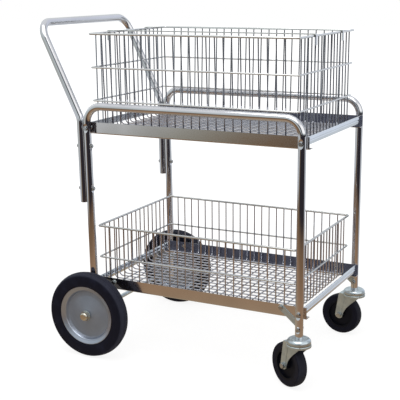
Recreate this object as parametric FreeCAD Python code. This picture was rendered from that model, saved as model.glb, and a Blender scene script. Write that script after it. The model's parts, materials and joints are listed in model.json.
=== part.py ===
import FreeCAD, Part
import os
from math import acos, cos, pi, radians, sin, sqrt, tan

os.makedirs("parts", exist_ok=True)
V = FreeCAD.Vector

# Wire mail cart. X runs from the handle to the casters, Y across, Z up from the floor.

# Frame tubes
tube_dia = 22.2
tube_wall = 1.5
frame_width = 471.0
wheel_base = 652.6
rail_height = 745.3
tube_bend = 47.3
rear_lean = 0.85
rear_leg_tail = 25.2

# Push handle
handle_lap = 246.5
handle_bend_drop = 37.1
handle_slope = 26.0
handle_rise = 270.2

# Deck angles, cross bars and straps
angle_height = 33.5
angle_flange = 24.1
angle_sheet = 2.0
angle_bend = 3.4
angle_front_lap = 14.8
angle_rear_lap = 13.0
deck_below_rail = 81.6
lower_deck = 200.2
deck_bolt_rise = 17.6
strap_sheet = 2.5
strap_width = 15.0
strap_reach = 58.4
strap_foot_rise = 25.0
strap_head_front = 25.1
strap_head_rear = 20.4
bar_height = 21.0
bar_rise = 11.0
bar_sheet = 2.3
bar_lip = 5.5
bar_bend = 3.2
bar_gap = 0.6

# Fasteners
bolt_dia = 6.35
bolt_hole = 6.6
nut_flats = 11.1
nut_height = 5.5
head_height = 4.0
hex_face = 0.95
hex_chamfer_slope = 30.0
jam_nut_height = 2.8
dimple_depth = 2.6
dimple_round = 36.0
small_dimple_depth = 2.2
small_dimple_round = 24.0
bolt_tip = 2.0
spacer_dia = 13.0
handle_bolt_low = 42.1
handle_bolt_pitch = 125.2

# Rear wheels and axle
wheel_dia = 258.0
wheel_width = 41.0
wheel_offset = 37.4
tyre_shoulder_drop = 10.2
tyre_tread_drop = 2.8
tyre_tread_width = 24.6
tyre_shoulder_bulge = 1.6
tyre_bead_rise = 0.7
lip_dia = 178.0
lip_seat = 15.6
seat_dia = 155.7
seat_out = 11.1
web_dia = 144.6
web_inner_dia = 115.0
web_hub_out = 11.1
web_sheet = 2.0
hub_dia = 20.0
hub_length = 29.7
axle_dia = 12.7
running_fit = 0.06
axle_hole_gap = 0.15
side_play = 0.3
axle_spacer_dia = 19.0
axle_spot_gap = 0.2
axle_spot_depth = 3.7
washer_dia = 31.0
washer_thick = 2.0
cap_flats = 25.4
cap_hex = 9.0
cap_length = 16.0
cap_round = 6.0

# Casters
caster_dia = 127.0
caster_width = 30.0
caster_trail = 40.0
caster_turn_right = 150.0
caster_turn_left = 174.0
caster_play = 2.3
fork_sheet = 3.0
fork_clearance = 5.3
fork_head_dia = 68.0
fork_skirt = 4.0
fork_round = 2.6
fork_back = 42.6
fork_back_low = 53.8
fork_nose = 28.7
fork_eye = 11.5
fork_eye_turn = 30.0
hollow_low_x = 21.0
hollow_low_drop = 49.3
hollow_mid_x = -3.0
hollow_mid_drop = 22.8
hollow_high_x = -21.5
hollow_high_drop = 6.3
fork_strip = 20.0
fork_crease = 1.0
stem_length = 48.2
stem_gap = 0.1
pin_dia = 11.0
race_gap = 1.6
dome_dia = 66.0
dome_height = 14.2
dome_shoulder = 10.0
dome_sheet = 3.0
cup_dia = 32.4
cup_rim_dia = 26.8
cup_height = 6.2
cup_gap = 0.6
caster_bolt_dia = 9.53
caster_bolt_flats = 14.3
caster_bolt_head = 6.0
caster_nut_height = 8.0
core_dia = 88.0
core_web = 13.0
core_rim = 6.0
core_boss_dia = 24.0
core_side_drop = 1.0
tread_round = 6.5
tread_crown = 0.8

# Baskets
rim_dia = 6.35
hoop_dia = 4.9
wire_dia = 3.4
wire_sides = 6
hoop_pitch = 95.0
wire_pitch = 25.4
side_corner_room = 31.0
end_corner_room = 11.0
corner_round = 7.4
upper_rear_gap = 4.3
upper_front_gap = 19.1
upper_side_gap = 1.1
upper_floor_gap = 16.9
upper_depth = 284.6
upper_hoops = 2
lower_rear_gap = 8.8
lower_front_gap = 19.5
lower_side_gap = 1.6
lower_depth = 188.6
lower_hoops = 1

# Hanger rails
hanger_width = 11.5
hanger_sheet = 2.8
hanger_tab = 30.0
hanger_offset = 107.5
hanger_bend = 3.7

# Values that follow from the sizes above
tube_r = tube_dia / 2
half_width = frame_width / 2
front_leg = wheel_base / 2
axle_x = -wheel_base / 2
axle_z = wheel_dia / 2
wheel_mid = half_width + wheel_offset
lean = radians(rear_lean)
slope = radians(handle_slope)
plate_low = caster_dia + fork_clearance
fork_top = plate_low + fork_sheet
dome_low = fork_top + race_gap
front_leg_foot = dome_low + dome_height
rear_leg_foot = axle_z - rear_leg_tail
strap_foot = front_leg_foot + strap_foot_rise
upper_deck = rail_height - deck_below_rail
handle_bend_height = rail_height - handle_bend_drop
handle_foot = handle_bend_height - handle_lap
handle_height = handle_bend_height + handle_rise
handle_bolt_first = handle_foot + handle_bolt_low
handle_bolt_heights = (handle_bolt_first, handle_bolt_first + handle_bolt_pitch)
leg_inside = half_width - tube_r
angle_out = leg_inside - strap_sheet
angle_in = angle_out - angle_sheet
rail_r = rim_dia / 2
upper_rim = upper_deck + upper_depth
lower_rim = lower_deck + lower_depth
wire_hex = wire_dia / 2 * sqrt(2 * pi / (wire_sides * sin(2 * pi / wire_sides)))
wire_flat = wire_hex * cos(pi / wire_sides)
nut_corner = nut_flats / sqrt(3)
sideways = V(0, 1, 0)
lengthways = V(1, 0, 0)
upright = V(0, 0, 1)


def rear_leg(z):
    return axle_x - (z - axle_z) * tan(lean)


def handle_leg(z):
    return rear_leg(z) - tube_dia / cos(lean)


handle_x = handle_leg(handle_bend_height) - handle_rise * tan(slope)
x_middle = (front_leg + fork_head_dia / 2 + handle_x - tube_r) / 2


def write(node, shapes):
    shape = Part.makeCompound(shapes) if isinstance(shapes, list) else shapes
    shape = shape.copy()
    shape.translate(V(-x_middle, 0, 0))
    if not shape.isValid():
        raise ValueError(node)
    shape.exportStep("parts/" + node + ".step")


def bent_corners(points, radius, closed):
    """Start, centre, end and turn of the bend at each corner of the path."""
    count = len(points)
    bends = {}
    for i in range(count) if closed else range(1, count - 1):
        here = points[i]
        back = (points[i - 1] - here).normalize()
        ahead = (points[(i + 1) % count] - here).normalize()
        half = acos(back.dot(ahead)) / 2
        reach = radius / tan(half)
        centre = here + (back + ahead).normalize() * (radius / sin(half))
        bends[i] = (here + back * reach, centre, here + ahead * reach, pi - 2 * half)
    return bends


def rod_along(points, radius, dia, closed=False):
    """A round rod along the points, straight lengths joined by round bends."""
    bends = bent_corners(points, radius, closed)
    count = len(points)
    lengths = []
    for i in range(count if closed else count - 1):
        j = (i + 1) % count
        start = bends[i][2] if i in bends else points[i]
        end = bends[j][0] if j in bends else points[j]
        lengths.append(cylinder(dia, start, end))
        if j in bends:
            centre = bends[j][1]
            turn = bends[j][3] * 180 / pi
            way = end - start
            section = Part.Face(Part.Wire(Part.makeCircle(dia / 2, end, way)))
            lengths.append(section.revolve(centre, (end - centre).cross(way), turn))
    return lengths[0].fuse(lengths[1:]).removeSplitter()


def cylinder(dia, start, end):
    way = end - start
    return Part.makeCylinder(dia / 2, way.Length, start, way)


def ring(outer, inner, start, end):
    return cylinder(outer, start, end).cut(cylinder(inner, start, end))


def pan(dia, start, end, shoulder):
    """A round block from start to end with its far edge rounded."""
    block = cylinder(dia, start, end)
    return block.makeFillet(shoulder, edges_at(block, [end]))


def hexagon(flats, start, end):
    """A hexagonal prism between two points on its axis."""
    way = end - start
    corner = flats / sqrt(3)
    points = [V(corner * cos(k * pi / 3), corner * sin(k * pi / 3), 0) for k in range(6)]
    prism = plate(points, upright * way.Length)
    prism.Placement = FreeCAD.Placement(start, FreeCAD.Rotation(upright, way))
    return prism


def hex_head(flats, start, end):
    """A hexagonal prism with the corners of its far end turned down."""
    way = (end - start).normalize()
    corner = flats / sqrt(3)
    face = flats / 2 * hex_face
    drop = (corner - face) * tan(radians(hex_chamfer_slope))
    block = cylinder(2 * corner, start, end - way * drop)
    cone = Part.makeCone(corner, face, drop, end - way * drop, way)
    return hexagon(flats, start, end).common(block.fuse(cone))


def plate(points, thickness):
    """A flat outline of points carried along the thickness."""
    return Part.Face(Part.makePolygon(points + points[:1])).extrude(thickness)


def edges_at(shape, middles):
    """The edges of a shape whose middles are the given points."""
    return [edge for edge in shape.Edges if any(edge.CenterOfMass.isEqual(p, 1e-6) for p in middles)]


def bolt(dia, flats, head, seat, tip):
    """Hex head under the seat point, shank from the seat to the tip."""
    way = (tip - seat).normalize()
    shank = cylinder(dia, seat - way * head / 2, tip)
    return hex_head(flats, seat, seat - way * head).fuse(shank).removeSplitter()


def nut(dia, flats, start, end):
    return hex_head(flats, start, end).cut(cylinder(dia, start, end))


def turned(profile, axis):
    """A closed profile of (radius, distance) pairs turned round the axis."""
    points = [lengthways * r + axis * d for r, d in profile]
    return Part.Face(Part.makePolygon(points + points[:1])).revolve(V(0, 0, 0), axis, 360)


def turned_tyre(seat, shoulders):
    """A tyre on the Y axis: straight seat lines, then arcs through (start, bulge, end) triples."""
    def at(pair):
        return V(pair[0], pair[1], 0)
    outline = [Part.makeLine(at(a), at(b)) for a, b in zip(seat, seat[1:])]
    outline += [Part.Arc(at(a), at(b), at(c)).toShape() for a, b, c in shoulders]
    return Part.Face(Part.Wire(outline)).revolve(V(0, 0, 0), sideways, 360)


def both_sides(half):
    """A half profile continued by its mirror image."""
    return half + [(r, -d) for r, d in reversed(half)]


def pressed(line, sheet):
    """Profile of a sheet: the line of (radius, distance) pairs and its copy one sheet further out."""
    slopes = [(d1 - d0) / (r1 - r0) for (r0, d0), (r1, d1) in zip(line, line[1:])]
    lifts = [sheet * sqrt(1 + s * s) for s in slopes]
    copy = [(line[0][0], line[0][1] + lifts[0])]
    for i in range(1, len(slopes)):
        shift = (lifts[i - 1] - lifts[i]) / (slopes[i] - slopes[i - 1])
        r, d = line[i]
        copy.append((r + shift, d + lifts[i] + slopes[i] * shift))
    copy.append((line[-1][0], line[-1][1] + lifts[-1]))
    return line + copy[::-1]


def wire_bar(start, end, cut_start, cut_end, flat_way):
    """A straight wire whose ends lie in the planes with the given normals."""
    way = (end - start).normalize()
    side = (flat_way - way * flat_way.dot(way)).normalize()
    other = way.cross(side)
    rows = []
    for point, normal in ((start, cut_start), (end, cut_end)):
        row = []
        for k in range(wire_sides):
            turn = (k + 0.5) * 2 * pi / wire_sides
            spot = point + (side * cos(turn) + other * sin(turn)) * wire_hex
            row.append(spot + way * ((point - spot).dot(normal) / way.dot(normal)))
        rows.append(row)
    low, high = rows
    faces = [Part.Face(Part.makePolygon(row + row[:1])) for row in rows]
    for k in range(wire_sides):
        j = (k + 1) % wire_sides
        faces.append(Part.Face(Part.makePolygon([low[k], low[j], high[j], high[k], low[k]])))
    solid = Part.Solid(Part.Shell(faces))
    return solid if solid.Volume > 0 else solid.reversed()


# Side frames: front leg, top rail and leaning rear leg in one bent tube, pressed in at each bolt
leg_bolt_heights = (upper_deck + deck_bolt_rise, lower_deck + deck_bolt_rise, strap_foot)
leg_bolt_spots = [(front_leg, z) for z in leg_bolt_heights]
leg_bolt_spots += [(rear_leg(z), z) for z in leg_bolt_heights]
handle_bolt_way = V(cos(lean), 0, sin(lean))


def dimple_of(z):
    if z == strap_foot:
        return small_dimple_depth, small_dimple_round
    return dimple_depth, dimple_round


def seat_of(z):
    """Distance from the tube's axis to the face that a bolt head or nut sits on."""
    depth, scoop = dimple_of(z)
    return tube_r - depth + scoop - sqrt(scoop * scoop - nut_corner * nut_corner)


def dimple(spot, skin):
    """Scoop that presses a tube in at a bolt, set off inwards by the skin."""
    centre, out, across, z = spot
    depth, scoop = dimple_of(z)
    axis = centre + out * (tube_r - depth + scoop)
    return cylinder(2 * (scoop + skin), axis - across * tube_dia, axis + across * tube_dia)


def through(dia, centre, way):
    """A hole right through a tube."""
    return cylinder(dia, centre - way * tube_dia, centre + way * tube_dia)


def pressed_tube(points, dimples, holes):
    outer = rod_along(points, tube_bend, tube_dia).cut([dimple(spot, 0) for spot in dimples])
    bore = rod_along(points, tube_bend, tube_dia - 2 * tube_wall)
    inner = bore.cut([dimple(spot, tube_wall) for spot in dimples])
    return outer.cut(inner).cut(holes)


def side_frame():
    """The left side frame, before it is set out to its place across the cart."""
    points = [
        V(front_leg, 0, front_leg_foot),
        V(front_leg, 0, rail_height),
        V(rear_leg(rail_height), 0, rail_height),
        V(rear_leg(rear_leg_foot), 0, rear_leg_foot),
    ]
    dimples = []
    holes = []
    for x, z in leg_bolt_spots:
        dimples.append((V(x, 0, z), sideways, lengthways, z))
        holes.append(through(bolt_hole, V(x, 0, z), sideways))
    for z in handle_bolt_heights:
        centre = V(rear_leg(z), 0, z)
        dimples.append((centre, handle_bolt_way, sideways, z))
        holes.append(through(bolt_hole, centre, handle_bolt_way))
    axle = V(axle_x, 0, axle_z)
    holes.append(through(axle_dia + 2 * axle_hole_gap, axle, sideways))
    spot_seat = axle + sideways * (tube_r - axle_spot_depth)
    holes.append(cylinder(axle_spacer_dia + 2 * axle_spot_gap, spot_seat, axle + sideways * tube_dia))
    return pressed_tube(points, dimples, holes)


left_frame = side_frame()
right_frame = left_frame.mirror(V(0, 0, 0), sideways)
write("side_frame_left", left_frame.translated(V(0, half_width, 0)))
write("side_frame_right", right_frame.translated(V(0, -half_width, 0)))

# Push handle, bolted behind the rear legs
left_half = [
    V(handle_leg(handle_foot), half_width, handle_foot),
    V(handle_leg(handle_bend_height), half_width, handle_bend_height),
    V(handle_x, half_width, handle_height),
]
right_half = [V(p.x, -p.y, p.z) for p in reversed(left_half)]
handle_dimples = []
handle_holes = []
handle_bolts = []
handle_nuts = []
for y in (-half_width, half_width):
    for z in handle_bolt_heights:
        leg = V(rear_leg(z), y, z)
        centre = leg - handle_bolt_way * tube_dia
        handle_dimples.append((centre, handle_bolt_way * -1, sideways, z))
        handle_holes.append(through(bolt_hole, centre, handle_bolt_way))
        head = centre - handle_bolt_way * seat_of(z)
        seat = leg + handle_bolt_way * seat_of(z)
        nut_end = seat + handle_bolt_way * nut_height
        tip = nut_end + handle_bolt_way * bolt_tip
        handle_bolts.append(bolt(bolt_dia, nut_flats, head_height, head, tip))
        handle_nuts.append(nut(bolt_dia, nut_flats, seat, nut_end))
write("push_handle", pressed_tube(left_half + right_half, handle_dimples, handle_holes))
write("handle_bolts", handle_bolts)
write("handle_nuts", handle_nuts)

# Deck angles with an inward bottom flange
strap_spots = [
    (front_leg, front_leg - strap_reach, lower_deck + strap_head_front),
    (rear_leg(strap_foot), axle_x + strap_reach, lower_deck + strap_head_rear),
]


def deck_angle(deck):
    x0 = rear_leg(deck) - angle_rear_lap
    length = front_leg + angle_front_lap - x0
    web = Part.makeBox(length, angle_sheet, angle_height, V(x0, angle_in, deck))
    flange = Part.makeBox(length, angle_flange, angle_sheet, V(x0, angle_out - angle_flange, deck))
    angle = web.fuse(flange).removeSplitter()
    middle = x0 + length / 2
    angle = angle.makeFillet(angle_bend, edges_at(angle, [V(middle, angle_out, deck)]))
    inner_bend = edges_at(angle, [V(middle, angle_in, deck + angle_sheet)])
    angle = angle.makeFillet(angle_bend - angle_sheet, inner_bend)
    z = deck + deck_bolt_rise
    spots = [(front_leg, z), (rear_leg(z), z)]
    if deck == lower_deck:
        spots += [(x, height) for leg, x, height in strap_spots]
    holes = []
    for x, height in spots:
        inner = V(x, angle_in - angle_sheet, height)
        outer = V(x, angle_out + angle_sheet, height)
        holes.append(cylinder(bolt_hole, inner, outer))
    return angle.cut(holes)


for name, deck in (("upper", upper_deck), ("lower", lower_deck)):
    write(name + "_angle_left", deck_angle(deck))
    write(name + "_angle_right", deck_angle(deck).mirror(V(0, 0, 0), sideways))


# Cross bars between the angles, clear of the leg nuts, with a lip turned in along the top edge
def cross_bar(deck, face, inward):
    low = deck + bar_rise
    lip_low = bar_height - bar_sheet
    section = [
        (0, 0), (bar_sheet, 0), (bar_sheet, lip_low),
        (bar_lip, lip_low), (bar_lip, bar_height), (0, bar_height),
    ]
    points = [V(face + inward * d, -angle_in, low + h) for d, h in section]
    bar = plate(points, V(0, 2 * angle_in, 0))
    bar = bar.makeFillet(bar_bend, edges_at(bar, [V(face, 0, low + bar_height)]))
    inner_bend = edges_at(bar, [V(face + inward * bar_sheet, 0, low + lip_low)])
    return bar.makeFillet(bar_bend - bar_sheet, inner_bend)


bar_stand = nut_corner + bar_gap + bar_sheet
upper_rear_leg = rear_leg(upper_deck + deck_bolt_rise)
lower_rear_leg = rear_leg(lower_deck + deck_bolt_rise)
write("upper_bar_front", cross_bar(upper_deck, front_leg + bar_stand, -1))
write("lower_bar_front", cross_bar(lower_deck, front_leg + bar_stand, -1))
write("upper_bar_rear", cross_bar(upper_deck, upper_rear_leg - bar_stand, 1))
write("lower_bar_rear", cross_bar(lower_deck, lower_rear_leg + bar_stand, -1))


# Diagonal straps between the lower angles and the legs
def strap(side, leg_x, head_x, head_z):
    foot_at = V(leg_x, side * angle_out, strap_foot)
    head_at = V(head_x, side * angle_out, head_z)
    out = V(0, side * strap_sheet, 0)
    wide = (head_at - foot_at).cross(out).normalize() * (strap_width / 2)
    bar = plate([foot_at - wide, foot_at + wide, head_at + wide, head_at - wide], out)
    ends = [cylinder(strap_width, p, p + out) for p in (foot_at, head_at)]
    holes = [cylinder(bolt_hole, p - out, p + out * 2) for p in (foot_at, head_at)]
    return bar.fuse(ends).removeSplitter().cut(holes)


write("brace_straps", [strap(side, *spot) for side in (-1, 1) for spot in strap_spots])

# Bolts through the legs, with their nuts and spacers
leg_bolts = []
leg_nuts = []
spacers = []
strap_bolts = []
strap_nuts = []
for side in (-1, 1):
    for x, z in leg_bolt_spots:
        seat = V(x, side * (half_width + seat_of(z)), z)
        tip = V(x, side * (angle_in - nut_height - bolt_tip), z)
        nut_y = angle_out if z == strap_foot else angle_in
        nut_start = V(x, side * nut_y, z)
        nut_end = V(x, side * (nut_y - nut_height), z)
        leg_bolts.append(bolt(bolt_dia, nut_flats, head_height, seat, tip))
        leg_nuts.append(nut(bolt_dia, nut_flats, nut_start, nut_end))
        if z != strap_foot:
            spacer_in = V(x, side * angle_out, z)
            spacer_out = V(x, side * leg_inside, z)
            spacers.append(ring(spacer_dia, bolt_hole, spacer_in, spacer_out))
    for leg, x, z in strap_spots:
        seat = V(x, side * leg_inside, z)
        nut_start = V(x, side * angle_in, z)
        nut_end = V(x, side * (angle_in - jam_nut_height), z)
        strap_bolts.append(bolt(bolt_dia, nut_flats, head_height, seat, nut_end))
        strap_nuts.append(nut(bolt_dia, nut_flats, nut_start, nut_end))
write("leg_bolts", leg_bolts)
write("leg_nuts", leg_nuts)
write("leg_spacers", spacers)
write("strap_bolts", strap_bolts)
write("strap_nuts", strap_nuts)

# Rear axle with spacers, washers and cap nuts
hub_in = wheel_mid - hub_length / 2
hub_out = wheel_mid + hub_length / 2
washer_in = hub_out + side_play
cap_in = washer_in + washer_thick
axle_end = cap_in + cap_hex


def on_axle(y):
    return V(axle_x, y, axle_z)


def cap_nut(side):
    seat = on_axle(side * cap_in)
    hex_end = on_axle(side * axle_end)
    dome = pan(cap_flats, hex_end, on_axle(side * (cap_in + cap_length)), cap_round)
    body = hexagon(cap_flats, seat, hex_end).fuse(dome).removeSplitter()
    return body.cut(cylinder(axle_dia, seat, hex_end))


write("rear_axle", cylinder(axle_dia, on_axle(-axle_end), on_axle(axle_end)))
axle_spacers = []
axle_washers = []
cap_nuts = []
for side in (-1, 1):
    leg_face = on_axle(side * (half_width + tube_r - axle_spot_depth))
    hub_face = on_axle(side * (hub_in - side_play))
    axle_spacers.append(ring(axle_spacer_dia, axle_dia, leg_face, hub_face))
    axle_washers.append(ring(washer_dia, axle_dia, on_axle(side * washer_in), on_axle(side * cap_in)))
    cap_nuts.append(cap_nut(side))
write("axle_spacers", axle_spacers)
write("axle_washers", axle_washers)
write("cap_nuts", cap_nuts)

# Rear wheels: tyre clamped between two stamped halves on a hub bush
tyre_seat = [(web_dia / 2, 0), (seat_dia / 2, seat_out), (lip_dia / 2, lip_seat)]
stamped_line = [(hub_dia / 2, web_hub_out), (web_inner_dia / 2, 0)] + tyre_seat


def stamped_half(side):
    return turned([(r, side * d) for r, d in pressed(stamped_line, web_sheet)], sideways)


def tyre():
    crown = wheel_dia / 2
    side = wheel_width / 2
    tread = tyre_tread_width / 2
    shoulder_r = crown - tyre_shoulder_drop
    tread_r = crown - tyre_tread_drop
    lip_edge = pressed(stamped_line, web_sheet)[len(stamped_line)]
    half = tyre_seat[1:] + [(lip_dia / 2, lip_edge[1] + tyre_bead_rise), (shoulder_r, side)]
    seat = [(r, -d) for r, d in reversed(half)] + tyre_seat[:1] + half
    round_r = (shoulder_r + tread_r) / 2 + tyre_shoulder_bulge
    round_y = (side + tread) / 2 + tyre_shoulder_bulge
    return turned_tyre(seat, [
        ((shoulder_r, side), (round_r, round_y), (tread_r, tread)),
        ((tread_r, tread), (crown, 0), (tread_r, -tread)),
        ((tread_r, -tread), (round_r, -round_y), (shoulder_r, -side)),
    ])


for name, side in (("right", -1), ("left", 1)):
    centre = on_axle(side * wheel_mid)
    hub = ring(hub_dia, axle_dia + 2 * running_fit, on_axle(side * hub_in), on_axle(side * hub_out))
    write("rear_tyre_" + name, tyre().translated(centre))
    write("rear_disc_" + name, [stamped_half(1).translated(centre), stamped_half(-1).translated(centre)])
    write("rear_hub_" + name, hub)

# Casters, made with the stem on the Z axis and the trail along +X
caster_r = caster_dia / 2
fork_inside = caster_width / 2 + caster_play
fork_outside = fork_inside + fork_sheet
caster_axle = V(caster_trail, 0, caster_r)


def fork_cheek():
    """The right cheek: a strip down to the axle and a thinner web in front of a crease."""
    turn = radians(fork_eye_turn)
    eye_low = V(caster_trail, 0, caster_r - fork_eye)
    eye_back = V(fork_back_low, 0, caster_r)
    eye_front = caster_axle - V(fork_eye * cos(turn), 0, fork_eye * sin(turn))
    nose_low = V(-fork_nose, 0, plate_low)
    nose = V(-fork_nose, 0, fork_top)
    heel = V(fork_back, 0, fork_top)
    hollow = Part.BSplineCurve()
    hollow.interpolate([
        eye_front,
        V(hollow_low_x, 0, plate_low - hollow_low_drop),
        V(hollow_mid_x, 0, plate_low - hollow_mid_drop),
        V(hollow_high_x, 0, plate_low - hollow_high_drop),
        nose_low,
    ])
    outline = Part.Wire([
        Part.makeLine(heel, eye_back),
        Part.Arc(eye_back, eye_low, eye_front).toShape(),
        hollow.toShape(),
        Part.makeLine(nose_low, nose),
        Part.makeLine(nose, heel),
    ])
    crease_top = V(fork_back - fork_strip, 0, plate_low - fork_skirt)
    crease_low = V(fork_back_low - fork_strip, 0, caster_r)
    web_low = V(-fork_head_dia, 0, caster_r)
    web_top = V(-fork_head_dia, 0, plate_low - fork_skirt)
    recess = plate([crease_top, crease_low, web_low, web_top], V(0, fork_crease, 0))
    cheek = Part.Face(outline).extrude(V(0, fork_sheet, 0)).cut(recess)
    return cheek.translated(V(0, -fork_outside, 0))


def caster_fork():
    skirt_low = upright * (plate_low - fork_skirt)
    head = pan(fork_head_dia, skirt_low, upright * fork_top, fork_round)
    head = head.cut(cylinder(fork_head_dia - 2 * fork_sheet, skirt_low, upright * plate_low))
    tail = Part.makeBox(fork_back, 2 * fork_outside, fork_sheet, V(0, -fork_outside, plate_low))
    near = fork_cheek()
    far = near.mirror(V(0, 0, 0), sideways)
    fork = head.fuse([tail, near, far]).removeSplitter()
    across = V(0, fork_outside + fork_sheet, 0)
    pin_bore = cylinder(pin_dia + 2 * running_fit, upright * caster_r, upright * dome_low)
    return fork.cut([pin_bore, cylinder(caster_bolt_dia, caster_axle - across, caster_axle + across)])


def caster_stem():
    """The left stem: a shank inside the leg, flattened where the leg is pressed in, and a pin below."""
    shank_dia = tube_dia - 2 * tube_wall - 2 * stem_gap
    shank = cylinder(shank_dia, upright * front_leg_foot, upright * (front_leg_foot + stem_length))
    pin = cylinder(pin_dia, upright * (plate_low - cup_gap - cup_height), upright * front_leg_foot)
    bolt_at = upright * strap_foot
    flat = dimple((bolt_at, sideways, lengthways, strap_foot), tube_wall + stem_gap)
    return shank.fuse(pin).removeSplitter().cut([through(bolt_hole, bolt_at, sideways), flat])


def caster_dome():
    inside = dome_dia - 2 * dome_sheet
    top = upright * front_leg_foot
    shell = pan(dome_dia, upright * dome_low, top, dome_shoulder)
    hollow = pan(inside, upright * dome_low, top - upright * dome_sheet, dome_shoulder - dome_sheet)
    return shell.cut([hollow, cylinder(pin_dia, upright * dome_low, top)])


def caster_cup():
    top = plate_low - cup_gap
    low = top - cup_height
    return turned([
        (pin_dia / 2, low), (cup_rim_dia / 2, low), (cup_dia / 2, low + cup_height / 2),
        (cup_dia / 2, top), (pin_dia / 2, top),
    ], upright)


def caster_core():
    boss_r = core_boss_dia / 2
    rim_r = core_dia / 2
    rim_side = caster_width / 2 - core_side_drop
    bore_r = caster_bolt_dia / 2 + running_fit
    half = [
        (bore_r, caster_width / 2), (boss_r, caster_width / 2), (boss_r, core_web / 2),
        (rim_r - core_rim, core_web / 2), (rim_r - core_rim, rim_side), (rim_r, rim_side),
    ]
    return turned(both_sides(half), sideways).translated(caster_axle)


def caster_tyre():
    side_y = caster_width / 2
    tread_y = side_y - tread_round
    tread_r = caster_r - tread_crown
    shoulder_r = tread_r - tread_round
    round_r = shoulder_r + tread_round * cos(pi / 4)
    round_y = tread_y + tread_round * cos(pi / 4)
    half = [(core_dia / 2, side_y - core_side_drop), (shoulder_r, side_y)]
    tyre_shape = turned_tyre([(r, -d) for r, d in reversed(half)] + half, [
        ((shoulder_r, side_y), (round_r, round_y), (tread_r, tread_y)),
        ((tread_r, tread_y), (caster_r, 0), (tread_r, -tread_y)),
        ((tread_r, -tread_y), (round_r, -round_y), (shoulder_r, -side_y)),
    ])
    return tyre_shape.translated(caster_axle)


def set_caster(shape, side):
    shape = shape.copy()
    shape.rotate(V(0, 0, 0), upright, caster_turn_left if side > 0 else caster_turn_right)
    return shape.translated(V(front_leg, side * half_width, 0))


bolt_seat = caster_axle - V(0, fork_outside, 0)
nut_seat = caster_axle + V(0, fork_outside, 0)
nut_end = nut_seat + V(0, caster_nut_height, 0)
axle_bolt = bolt(caster_bolt_dia, caster_bolt_flats, caster_bolt_head, bolt_seat, nut_end)
axle_nut = nut(caster_bolt_dia, caster_bolt_flats, nut_seat, nut_end)
for name, side in (("right", -1), ("left", 1)):
    write("caster_fork_" + name, set_caster(caster_fork(), side))
    write("caster_bolt_" + name, set_caster(axle_bolt, side))
    write("caster_nut_" + name, set_caster(axle_nut, side))
    write("caster_core_" + name, set_caster(caster_core(), side))
    write("caster_tyre_" + name, set_caster(caster_tyre(), side))

left_foot = V(front_leg, half_width, 0)
right_foot = V(front_leg, -half_width, 0)
left_stem = caster_stem()
right_stem = left_stem.mirror(V(0, 0, 0), sideways)
write("caster_stems", [left_stem.translated(left_foot), right_stem.translated(right_foot)])
write("caster_domes", [caster_dome().translated(foot) for foot in (left_foot, right_foot)])
write("caster_cups", [caster_cup().translated(foot) for foot in (left_foot, right_foot)])


# Baskets: rim and hoops outside the upright wires, uprights carried on across the floor
def spread(low, high, room):
    """Wire places between two walls, as many as the room takes, about the middle."""
    gaps = int((high - low - 2 * room) / wire_pitch)
    return [(low + high) / 2 + (k - gaps / 2) * wire_pitch for k in range(gaps + 1)]


def basket(name, deck, ends, half_top, half_floor, rim_z, hoops):
    x0, x1 = ends
    cross_z = deck + angle_sheet + wire_flat
    long_z = cross_z + 2 * wire_flat
    top_half = half_top - rail_r - wire_flat
    taper = (top_half - half_floor) / (rim_z - cross_z)
    tilt = sqrt(1 + taper * taper)
    x_rear = x0 + rail_r + wire_flat
    x_front = x1 - rail_r - wire_flat
    xs = spread(x0, x1, side_corner_room)
    ys = spread(-half_floor, half_floor, end_corner_room)
    mitres = []
    for side, where in ((-1, "right"), (1, "left")):
        mitre = V(0, side * taper / tilt, 1 / tilt) + sideways * side
        mitres.append(mitre)
        walls = []
        for x in xs:
            foot = V(x, side * half_floor, cross_z)
            top = V(x, side * top_half, rim_z)
            walls.append(wire_bar(foot, top, mitre, upright, sideways))
        write(name + "_side_wires_" + where, walls)
    back = upright - lengthways
    fore = upright + lengthways
    for x, mitre, where in ((x_rear, back, "rear"), (x_front, fore, "front")):
        walls = [wire_bar(V(x, y, long_z), V(x, y, rim_z), mitre, upright, lengthways) for y in ys]
        write(name + "_end_wires_" + where, walls)
    floor = []
    for x in xs:
        right = V(x, -half_floor, cross_z)
        left = V(x, half_floor, cross_z)
        floor.append(wire_bar(right, left, mitres[0], mitres[1], upright))
    for y in ys:
        floor.append(wire_bar(V(x_rear, y, long_z), V(x_front, y, long_z), back, fore, upright))
    write(name + "_floor_wires", floor)
    loops = []
    for k in range(hoops + 1):
        z = rim_z - k * hoop_pitch
        dia = hoop_dia if k else rim_dia
        y = half_floor + taper * (z - cross_z) + (wire_flat + dia / 2) * tilt
        rear = x0 + rail_r - dia / 2
        front = x1 - rail_r + dia / 2
        corners = [V(front, -y, z), V(front, y, z), V(rear, y, z), V(rear, -y, z)]
        loops.append(rod_along(corners, corner_round, dia, closed=True))
    write(name + "_rim", loops[0])
    write(name + "_hoops", loops[1:])


upper_rear = rear_leg(upper_deck) + upper_rear_gap
upper_front = front_leg - upper_front_gap
upper_half = angle_in - upper_side_gap
upper_floor = angle_in - upper_floor_gap
upper_ends = (upper_rear, upper_front)
basket("upper_basket", upper_deck, upper_ends, upper_half, upper_floor, upper_rim, upper_hoops)
lower_rear = rear_leg(lower_deck) + lower_rear_gap
lower_front = front_leg - lower_front_gap
lower_half = angle_in - lower_side_gap
lower_wall = lower_half - rail_r - wire_flat
lower_ends = (lower_rear, lower_front)
basket("lower_basket", lower_deck, lower_ends, lower_half, lower_wall, lower_rim, lower_hoops)


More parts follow.
